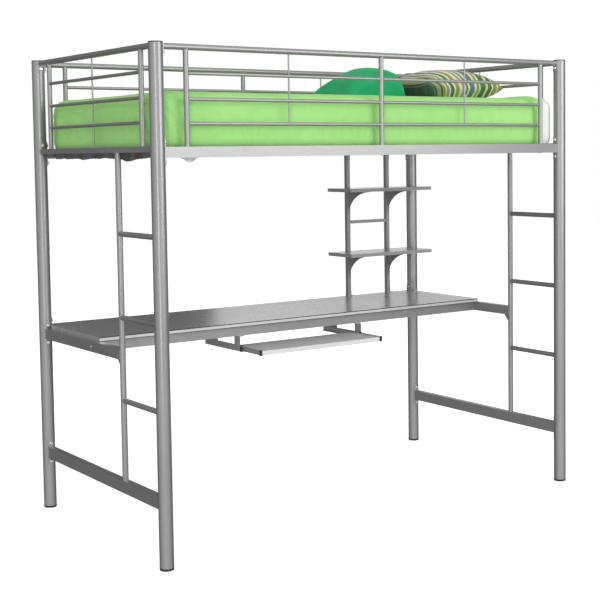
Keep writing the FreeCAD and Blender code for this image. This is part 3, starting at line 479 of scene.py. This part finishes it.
def tube(name, points, radius, material, closed=False, sides=8):
    """Smooth round cord of sewn piping or weld along points."""
    cu = bpy.data.curves.new(name, "CURVE")
    cu.dimensions = "3D"
    sp = cu.splines.new("NURBS")
    sp.points.add(len(points) - 1)
    for q, p in zip(sp.points, points):
        q.co = (*p, 1)
    sp.order_u = 3
    sp.use_cyclic_u = closed
    sp.use_endpoint_u = not closed
    cu.bevel_depth = radius
    cu.bevel_resolution = 2
    cu.resolution_u = 3
    cu.use_fill_caps = True
    o = bpy.data.objects.new(name, cu)
    scene.collection.objects.link(o)
    dg = bpy.context.evaluated_depsgraph_get()
    me = bpy.data.meshes.new_from_object(o.evaluated_get(dg))
    bpy.data.objects.remove(o)
    me.name = name
    ob = bpy.data.objects.new(name, me)
    scene.collection.objects.link(ob)
    me.materials.clear()
    me.materials.append(MATS[material])
    me.shade_smooth()
    return ob


def outline_of(half_x, half_y, corner, centre, z, step=0.03):
    pts = []
    for sx, sy, a0 in ((1, 1, 0), (-1, 1, 90), (-1, -1, 180), (1, -1, 270)):
        for k in range(7):
            a = math.radians(a0 + 15 * k)
            pts.append((centre.x + sx * (half_x - corner) + corner * math.cos(a), centre.y + sy * (half_y - corner) + corner * math.sin(a), z))
    out = []
    for k in range(len(pts)):
        a, b = Vector(pts[k]), Vector(pts[(k + 1) % len(pts)])
        n = max(1, int((b - a).length / step))
        out += [a.lerp(b, t / n) for t in range(n)]
    return out


def snap(points, ob, lift):
    dg = bpy.context.evaluated_depsgraph_get()
    tree = BVHTree.FromObject(ob, dg)
    res = []
    for p in points:
        hit = tree.find_nearest(p)
        res.append(tuple(hit[0] + hit[1] * lift))
    return res


HALF = (MHI - MLO) / 2
for label, z in (("upper", MHI.z - 0.022), ("lower", MLO.z + 0.018)):
    ring = snap(outline_of(HALF.x, HALF.y, 0.062, MC, z), mat_ob, 0.0002)
    t = tube("mattress_tape_" + label, ring, 0.0028, "mattress_ticking", True)
    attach(t, BODY)

# fitted green cover: stretched over the mattress, its hem gathered under it and open at the right end
cover = bpy.data.objects.new("fitted_cover", mat_ob.data.copy())
scene.collection.objects.link(cover)
cover.data.materials.clear()
cover.data.materials.append(MATS["green_cotton"])
bm = bmesh.new()
bm.from_mesh(cover.data)
bmesh.ops.bisect_plane(bm, geom=bm.verts[:] + bm.edges[:] + bm.faces[:], plane_co=(COVER_END - 0.001, 0, 0), plane_no=(1, 0, 0), clear_outer=True)
bmesh.ops.bisect_plane(bm, geom=bm.verts[:] + bm.edges[:] + bm.faces[:], plane_co=(0, 0, MLO.z + 0.010), plane_no=(0, 0, -1), clear_outer=True)
bm.to_mesh(cover.data)
bm.free()
subdivide(cover, 1)
co, no = get_co(cover), get_no(cover)
lift = np.full(len(co), 0.0022)
# soft tension folds that fan out of each corner, and a slow unevenness everywhere
for sx, sy, amp in ((-1, -1, 1.0), (-1, 1, 0.7), (1, -1, 0.5), (1, 1, 0.5)):
    cx, cy = MC.x + sx * (HALF.x - 0.03), MC.y + sy * (HALF.y - 0.03)
    dx, dy, dz = co[:, 0] - cx, co[:, 1] - cy, co[:, 2] - (MHI.z - 0.04)
    dist = np.sqrt(dx * dx + dy * dy + 0.6 * dz * dz)
    run = np.arctan2(dz, np.abs(dx) + np.abs(dy) + 0.02)
    lift += amp * 0.0018 * np.exp(-(dist / 0.16) ** 2) * (1 + np.sin(run * 13 + dist * 30 + sx))
lift += 0.0010 * (1 + wave_noise(co, 9.0, 3.1)) * 0.5
side = np.clip((MHI.z - 0.03 - co[:, 2]) / 0.14, 0, 1)
lift += side * 0.0010 * (1 + np.sin(co[:, 0] * 46 + 2.2 * np.sin(co[:, 0] * 9.0) + 5 * co[:, 1]))
# rucked loose end of the cover on top, near the right
near = np.clip((co[:, 0] - (COVER_END - 0.11)) / 0.07, 0, 1) * np.clip((COVER_END - co[:, 0]) / 0.012, 0, 1)
near = near * near * (3 - 2 * near)
flat = np.clip((co[:, 2] - (MHI.z - 0.05)) / 0.04, 0, 1)
lift += near * (0.4 + 0.6 * flat) * 0.0042 * (1 + np.sin(co[:, 0] * 95 + 3.0 * np.sin(co[:, 1] * 14)))
co = co + no * lift[:, None]
co[:, 2] = np.maximum(co[:, 2], MLO.z + 0.002)
set_co(cover, co)
s = cover.modifiers.new("cloth", "SOLIDIFY")
s.thickness = 0.0008
s.offset = 1.0
apply_all(cover)
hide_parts("mattress_cover")
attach(cover, BODY)

# hem cord round the open right end of the cover, and the sewn upright seams at its left corners
hem_pts = []
y0, y1, zt, zb = MLO.y, MHI.y, MHI.z, MLO.z
for k in range(0, 9):
    hem_pts.append((COVER_END - 0.002, y0, zb + 0.012 + (zt - 0.045 - zb - 0.012) * k / 8))
for k in range(1, 6):
    a = math.radians(90 * k / 6)
    hem_pts.append((COVER_END - 0.002, y0 + 0.036 * (1 - math.cos(a)), zt - 0.036 + 0.036 * math.sin(a)))
for k in range(0, 25):
    hem_pts.append((COVER_END - 0.002 + 0.0012 * math.sin(k * 1.7), y0 + 0.036 + (y1 - y0 - 0.072) * k / 24, zt))
for k in range(1, 6):
    a = math.radians(90 * (6 - k) / 6)
    hem_pts.append((COVER_END - 0.002, y1 - 0.036 * (1 - math.cos(a)), zt - 0.036 + 0.036 * math.sin(a)))
for k in range(0, 9):
    hem_pts.append((COVER_END - 0.002, y1, zt - 0.045 - (zt - 0.045 - zb - 0.012) * k / 8))
hem = tube("cover_hem", snap([Vector(p) for p in hem_pts], mat_ob, 0.0028), 0.0026, "green_cotton")
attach(hem, BODY)
for sx, sy in ((-1, -1), (-1, 1)):
    pts = []
    a = math.radians(225 if sy < 0 else 135)
    px = MC.x + sx * (HALF.x - 0.062) + 0.062 * math.cos(a)
    py = MC.y + sy * (HALF.y - 0.062) + 0.062 * math.sin(a)
    for k in range(15):
        pts.append(Vector((px, py, MLO.z + 0.012 + (MHI.z - 0.024 - MLO.z - 0.012) * k / 14)))
    for k in range(1, 7):
        pts.append(Vector((px - sx * 0.018 * k, py - sy * 0.018 * k, MHI.z + 0.004)))
    seam = tube("cover_seam_%s" % ("front" if sy < 0 else "rear"), snap(pts, cover, 0.0003), 0.0016, "green_cotton")
    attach(seam, BODY)

# rumpled underside hem hanging below the left bed-end rail, and one loose flap behind the front rail
def hanging(name, points, drops, fold, wave, seed, material):
    """A strip of cloth hanging from a line of points, gathered into folds."""
    n, rows = len(points), 12
    verts, faces = [], []
    for r in range(rows + 1):
        t = r / rows
        for k, (p, d) in enumerate(zip(points, drops)):
            w = math.sin(k * wave + seed) + 0.6 * math.sin(k * wave * 0.43 + 1.3 * seed) + 0.3 * math.sin(k * wave * 2.3 + t * 5)
            out = fold * w * (0.25 + 0.75 * t) * (1 - 0.3 * t * t)
            z = p[2] - d * t
            verts.append((p[0] + p[3] * out, p[1] + p[4] * out, z + 0.0015 * math.sin(k * 1.9 + t * 9)))
    for r in range(rows):
        for k in range(n - 1):
            a = r * n + k
            faces.append((a, a + 1, a + n + 1, a + n))
    o = new_object(name, verts, faces, material)
    s = o.modifiers.new("cloth", "SOLIDIFY")
    s.thickness = 0.0012
    s.offset = 0
    apply_all(o)
    subdivide(o, 1)
    return o


ledge_z = MLO.z - 0.0004
pts, drops = [], []
for k in range(150):
    y = 0.455 - 0.91 * k / 149
    x = MLO.x + 0.022 + 0.004 * math.sin(k * 0.21)
    pts.append((x, y, ledge_z, 1.0, 0.35))
    lobe = 0.5 + 0.5 * math.sin(k * 0.115 + 2.4 + 0.8 * math.sin(k * 0.043))
    drops.append(0.0205 + 0.011 * lobe * lobe * min(1, max(0.12, (k - 25) / 45)) + 0.0012 * math.sin(k * 0.31))
# the hem takes the painted-shade cloth: dark grey for the shadow under the mattress
under = hanging("underside_hem", pts, drops, 0.0046, 0.23, 0.4, "painted_shade_underside_cloth")
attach(under, BODY)
pts, drops = [], []
for k in range(40):
    t = k / 39
    pts.append((-0.857 + 0.105 * t, -0.459 + 0.0015 * math.sin(k * 0.6), ledge_z, 0.0, 1.0))
    drops.append(0.018 + 0.019 * math.sin(math.pi * min(1, t * 1.25)) ** 1.5)
flap = hanging("underside_flap", pts, drops, 0.0022, 0.5, 1.1, "mattress_ticking")
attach(flap, BODY)


# ------------------------------------------------------------- throw pillows
def pillow_mesh(name, material, centre, width, depth, high, rest_z, tilt, bottom_share, pinch, droop, ear):
    """A stuffed square pillow: crowned, sides pulled in between its corners."""
    n = 44
    verts, faces, idx = [], [], {}

    def shape(a, b, side):
        aa, bb = abs(a), abs(b)
        x = a * (1 - pinch * (1 - bb * bb) * aa ** 3) * width / 2
        y = b * (1 - pinch * (1 - aa * aa) * bb ** 3) * depth / 2
        fill = max(0.0, (1 - aa ** 2.3)) ** 0.62 * max(0.0, (1 - bb ** 2.3)) ** 0.62
        t = high * ((1 - bottom_share) if side > 0 else -bottom_share) * fill
        z = t - droop * (aa ** 3 * 0.6 + bb ** 3 * 0.6 + ear * (aa * bb) ** 4)
        return x, y, z

    for side in (1, -1):
        for i in range(n + 1):
            for j in range(n + 1):
                a, b = math.sin(math.pi / 2 * (2 * i / n - 1)), math.sin(math.pi / 2 * (2 * j / n - 1))
                rim = i in (0, n) or j in (0, n)
                key = (i, j, 0 if rim else side)
                if key not in idx:
                    idx[key] = len(verts)
                    verts.append(shape(a, b, side))
    for side in (1, -1):
        for i in range(n):
            for j in range(n):
                q = []
                for ii, jj in ((i, j), (i + 1, j), (i + 1, j + 1), (i, j + 1)):
                    rim = ii in (0, n) or jj in (0, n)
                    q.append(idx[(ii, jj, 0 if rim else side)])
                faces.append(q if side > 0 else q[::-1])
    o = new_object(name, verts, faces, material)
    rim = [shape(math.sin(math.pi / 2 * (2 * i / n - 1)), math.sin(math.pi / 2 * (2 * j / n - 1)), 1)
           for i, j in [(i, 0) for i in range(n)] + [(n, j) for j in range(n)] + [(i, n) for i in range(n, 0, -1)] + [(0, j) for j in range(n, 0, -1)]]
    # a little thickness at the rim so that the voxels keep it
    co = get_co(o)
    s = o.modifiers.new("rim", "SOLIDIFY")
    s.thickness = 0.006
    s.offset = 1.0
    apply_all(o)
    remesh(o, 0.0052)
    inflate(o, 4.0, 0.012, 20, 5.0, 0.3)
    sm = o.modifiers.new("even", "CORRECTIVE_SMOOTH")
    sm.factor, sm.iterations, sm.use_only_smooth = 0.5, 4, True
    apply_all(o)
    subdivide(o, 1)
    turn = Matrix.Rotation(tilt, 4, "X")
    tree_co = get_co(o)
    m4 = np.array(turn)[:3, :3]
    co = tree_co @ m4.T + np.array(centre)
    rim = [tuple(np.array(p) @ m4.T + np.array(centre)) for p in rim]
    return o, co, rim


def settle(co, floor):
    """Presses what would sink into the bed flat on it."""
    low = co[:, 2] < floor + 0.004
    co[low, 2] = floor + 0.004 * np.exp((co[low, 2] - floor - 0.004) / 0.004)
    return co


bed = COVER_TOP + 0.0012
GLO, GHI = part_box("pillow_green")
GC = (GLO + GHI) / 2
green, co, rim = pillow_mesh("throw_pillow_green", "emerald_cotton", (GC.x - 0.004, GC.y, bed + 0.046), 0.332, 0.300, 0.105, bed, math.radians(7), 0.30, 0.07, 0.050, 0.2)
top = co[:, 2] > bed + 0.01
face = np.clip((GC.y + 0.02 - co[:, 1]) / 0.10, 0, 1) * top
low_part = np.clip((bed + 0.085 - co[:, 2]) / 0.045, 0, 1)
set_co(green, co)
no = get_no(green)
tuck = np.maximum(0, np.sin((co[:, 0] - GC.x) * 2 * math.pi / 0.016)) ** 6
co += no * (tuck * face * low_part * 0.0016)[:, None]
crease = wave_noise(co, 26.0, 9.0)
co += no * (0.0012 * crease)[:, None]
co = settle(co, bed)
co[:, 0] += 0.062 * np.clip((co[:, 2] - bed - 0.01) / 0.10, 0, 1) ** 1.2
co[:, 2] = np.minimum(co[:, 2], GHI.z + 0.002)
set_co(green, co)
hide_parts("pillow_green")
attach(green, BODY)

SLO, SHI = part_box("pillow_striped")
SC = (SLO + SHI) / 2
# woven stripes across the pillow, bowed by its crown
m = Mat("striped_cotton")
sep = m.add("ShaderNodeSeparateXYZ")
m.link(m.co, sep.inputs[0])
xn = m.remap(sep.outputs["X"], SLO.x, SHI.x, 0, 1)
zn = m.remap(sep.outputs["Z"], bed, bed + 0.140, 1, 0)
left = m.math("SUBTRACT", 1.0, xn)
bow = m.math("MULTIPLY", m.math("MULTIPLY", m.math("MULTIPLY", m.math("SUBTRACT", m.math("MULTIPLY", zn, 1.6), 1.0), left), left), 0.34)
bow2 = m.math("MULTIPLY", m.math("POWER", m.math("ABSOLUTE", m.math("SUBTRACT", zn, 0.5)), 2.0), 0.16)
wob = m.math("MULTIPLY", m.math("SUBTRACT", m.noise(7.0, 2), 0.5), 0.030)
u = m.math("ADD", m.math("ADD", m.math("SUBTRACT", xn, bow), bow2), wob)
ramp = m.add("ShaderNodeValToRGB")
ramp.color_ramp.interpolation = "CONSTANT"
TEAL, DTEAL = (0.105, 0.190, 0.175), (0.030, 0.075, 0.062)
OLIVE, GREEN, CREAM, TAUPE, WHITE = (0.270, 0.290, 0.060), (0.075, 0.175, 0.035), (0.640, 0.610, 0.470), (0.300, 0.270, 0.225), (0.700, 0.690, 0.640)
STRIPES = [(0.0, DTEAL), (0.105, TEAL), (0.118, DTEAL), (0.150, OLIVE), (0.185, TAUPE), (0.212, DTEAL), (0.235, OLIVE), (0.275, CREAM), (0.292, TAUPE),
           (0.330, WHITE), (0.350, GREEN), (0.398, WHITE), (0.418, OLIVE), (0.465, CREAM), (0.505, TAUPE), (0.532, WHITE), (0.550, GREEN), (0.572, CREAM),
           (0.600, TEAL), (0.662, CREAM), (0.690, OLIVE), (0.722, WHITE), (0.738, GREEN), (0.800, CREAM), (0.826, GREEN), (0.872, WHITE), (0.888, OLIVE),
           (0.930, CREAM), (0.948, OLIVE)]
els = ramp.color_ramp.elements
while len(els) < len(STRIPES):
    els.new(0.5)
for e, (pos, col) in zip(els, STRIPES):
    e.position = pos
    e.color = (*col, 1)
m.link(u, ramp.inputs["Fac"])
cloth_finish(m, ramp.outputs["Color"], 0.0010, 0.80, 0.25, (1, 1, 0.9), [(m.noise(30.0, 4), 0.003, 0.12)])

striped, co, rim = pillow_mesh("throw_pillow_striped", "striped_cotton", (SC.x + 0.010, SC.y, bed + 0.062), 0.448, 0.300, 0.112, bed, math.radians(2), 0.46, 0.10, 0.002, -0.3)
co = settle(co, bed)
co[:, 2] = np.minimum(co[:, 2], SHI.z + 0.004)
set_co(striped, co)
no = get_no(striped)
co += no * (0.0012 * wave_noise(co, 24.0, 21.0))[:, None]
co = settle(co, bed)
set_co(striped, co)
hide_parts("pillow_striped")
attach(striped, BODY)

# --------------------------------------------------------------------- welds
# thin beads where one round tube is coped on another: the ring follows both tubes
def bead(end, along, rad, core_axis, core_rad):
    """Ring round a tube of that radius which runs along `along` from the axis of a core tube."""
    along, core_axis = Vector(along).normalized(), Vector(core_axis).normalized()
    side = along.cross(core_axis)
    pts = []
    for k in range(16):
        a = 2 * math.pi * k / 16
        s, c = math.sin(a), math.cos(a)
        reach = math.sqrt(max(core_rad ** 2 - (rad * s) ** 2, 0))
        pts.append(Vector(end) + along * reach + side * (rad * s) + core_axis * (rad * c))
    return pts


def ring_mesh(rings, name, thick=0.0014, sides=6):
    verts, faces = [], []
    for pts in rings:
        n, base = len(pts), len(verts)
        centre = sum(pts, Vector()) / n
        for k, p in enumerate(pts):
            tan = (pts[(k + 1) % n] - pts[k - 1]).normalized()
            out = (p - centre)
            out = (out - tan * out.dot(tan)).normalized()
            up = tan.cross(out)
            lump = thick * (1 + 0.18 * math.sin(k * 2.7 + base))
            for q in range(sides):
                a = 2 * math.pi * q / sides
                verts.append(p + out * (math.cos(a) * lump) + up * (math.sin(a) * lump))
        for k in range(n):
            for q in range(sides):
                a, b = base + k * sides + q, base + k * sides + (q + 1) % sides
                c, d = base + ((k + 1) % n) * sides + (q + 1) % sides, base + ((k + 1) % n) * sides + q
                faces.append((a, b, c, d))
    o = new_object(name, verts, faces, "silver_steel")
    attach(o, BODY)
    return o


PX = (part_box("post_front_right")[0].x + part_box("post_front_right")[1].x) / 2
PY = (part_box("post_rear_right")[0].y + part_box("post_rear_right")[1].y) / 2
rings = []
top_z = sum((v.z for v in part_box("front_guard_top_rail")), 0.0) / 2
for sy in (-1, 1):
    for x in (-0.850, 0.0, 0.850):
        rings.append(bead((x, sy * PY, top_z), (0, 0, -1), 0.0095, (1, 0, 0), 0.011))
        for z in (1.724, 1.635, 1.550):
            for d in (-1, 1):
                if abs(x + d * 0.1) > 0.851 and x != 0:
                    continue
                rings.append(bead((x, sy * PY, z), (d, 0, 0), 0.00635, (0, 0, 1), 0.0095))
end_z = sum((v.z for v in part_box("left_guard_top_rail")), 0.0) / 2
for sx in (-1, 1):
    for y, inward in ((-0.397, 1), (0.397, -1)):
        rings.append(bead((sx * PX, y, end_z), (0, 0, -1), 0.0095, (0, 1, 0), 0.011))
        for z in (1.731, 1.642, 1.556):
            rings.append(bead((sx * PX, y, z), (0, inward, 0), 0.00635, (0, 0, 1), 0.0095))
    for z in (1.160, 0.855, 0.550):
        rings.append(bead((sx * PX, -0.1995, z), (0, -1, 0), 0.010, (0, 0, 1), 0.011))
        rings.append(bead((sx * PX, -PY, z), (0, 1, 0), 0.010, (0, 0, 1), 0.0254))
ring_mesh(rings, "weld_beads")

# --------------------------------------------------------------------- stage
me = bpy.data.meshes.new("studio_floor")
R = 14.0
me.from_pydata([(-R, -R, 0), (R, -R, 0), (R, R, 0), (-R, R, 0)], [], [(0, 1, 2, 3)])
floor = bpy.data.objects.new("studio_floor", me)
scene.collection.objects.link(floor)
m = Mat("studio_floor")
fl = m.noise(0.9, 3)
m.set(Base_Color=m.mix(m.remap(fl, 0.3, 0.7, 0, 1), (0.93, 0.93, 0.93), (0.945, 0.945, 0.945)), Roughness=0.85)
m.b.inputs["Specular IOR Level"].default_value = 0.1
m.b.inputs["Emission Color"].default_value = (1, 1, 1, 1)
m.b.inputs["Emission Strength"].default_value = 0.55
me.materials.append(m.m)
floor.visible_glossy = False
floor.visible_diffuse = False

world = bpy.data.worlds.new("studio")
scene.world = world
world.use_nodes = True
wt = world.node_tree
for n in list(wt.nodes):
    wt.nodes.remove(n)
out = wt.nodes.new("ShaderNodeOutputWorld")
mixs = wt.nodes.new("ShaderNodeMixShader")
path = wt.nodes.new("ShaderNodeLightPath")
seen = wt.nodes.new("ShaderNodeBackground")
seen.inputs["Color"].default_value = (1, 1, 1, 1)
seen.inputs["Strength"].default_value = 1.0
lit = wt.nodes.new("ShaderNodeBackground")
tc = wt.nodes.new("ShaderNodeTexCoord")
dot = wt.nodes.new("ShaderNodeVectorMath")
dot.operation = "DOT_PRODUCT"
dot.inputs[1].default_value = Vector((-0.56, -0.72, 0.34)).normalized()
rg = wt.nodes.new("ShaderNodeMapRange")
for k, v in (("From Min", -0.45), ("From Max", 1.0), ("To Min", 0.08), ("To Max", 1.22)):
    rg.inputs[k].default_value = v
wt.links.new(tc.outputs["Generated"], dot.inputs[0])
wt.links.new(dot.outputs["Value"], rg.inputs["Value"])
lit.inputs["Color"].default_value = (1, 1, 1, 1)
wt.links.new(rg.outputs["Result"], lit.inputs["Strength"])
wt.links.new(path.outputs["Is Camera Ray"], mixs.inputs["Fac"])
wt.links.new(lit.outputs[0], mixs.inputs[1])
wt.links.new(seen.outputs[0], mixs.inputs[2])
wt.links.new(mixs.outputs[0], out.inputs["Surface"])


def area(name, where, aim, size, watts):
    d = bpy.data.lights.new(name, "AREA")
    d.shape = "RECTANGLE"
    d.size, d.size_y = size
    d.energy = watts
    o = bpy.data.objects.new(name, d)
    scene.collection.objects.link(o)
    o.location = where
    o.rotation_mode = "QUATERNION"
    o.rotation_quaternion = (Vector(aim) - Vector(where)).to_track_quat("-Z", "Y")
    return o


area("key", (2.3, -5.0, 2.5), (0.3, 0, 1.2), (3.4, 3.2), 110)
area("strip_left", (-3.4, -3.6, 1.5), (0, 0, 1.0), (0.22, 3.2), 30)
area("strip_right", (0.6, -5.4, 1.5), (0, 0, 1.0), (0.25, 3.2), 14)
area("top_fill", (0.0, -0.5, 5.0), (0, 0, 0.8), (4.0, 3.0), 20)
area("back_fill", (3.4, 4.2, 2.4), (0, 0, 1.0), (2.6, 2.2), 22)

# -------------------------------------------------------------------- camera
px, py, pz, yaw, pitch, roll, f, u0, v0 = (-2.9931, -4.3929, 1.4429, math.radians(36.1265), math.radians(3.803), math.radians(-0.7082), 1267.36, 350.0, 237.0)
fw = Vector((math.sin(yaw) * math.cos(pitch), math.cos(yaw) * math.cos(pitch), -math.sin(pitch)))
right = Vector((math.cos(yaw), -math.sin(yaw), 0))
up = right.cross(fw)
right2 = right * math.cos(roll) + up * math.sin(roll)
up2 = up * math.cos(roll) - right * math.sin(roll)
cam_data = bpy.data.cameras.new("camera")
cam = bpy.data.objects.new("camera", cam_data)
scene.collection.objects.link(cam)
cam.matrix_world = Matrix(((right2.x, up2.x, -fw.x, px), (right2.y, up2.y, -fw.y, py), (right2.z, up2.z, -fw.z, pz), (0, 0, 0, 1)))
cam_data.sensor_width = 36.0
cam_data.lens = f / 600 * 36
cam_data.shift_x = (300 - u0) / 600
cam_data.shift_y = (v0 - 300) / 600
cam_data.clip_end = 100
scene.camera = cam
scene.view_settings.view_transform = "Standard"
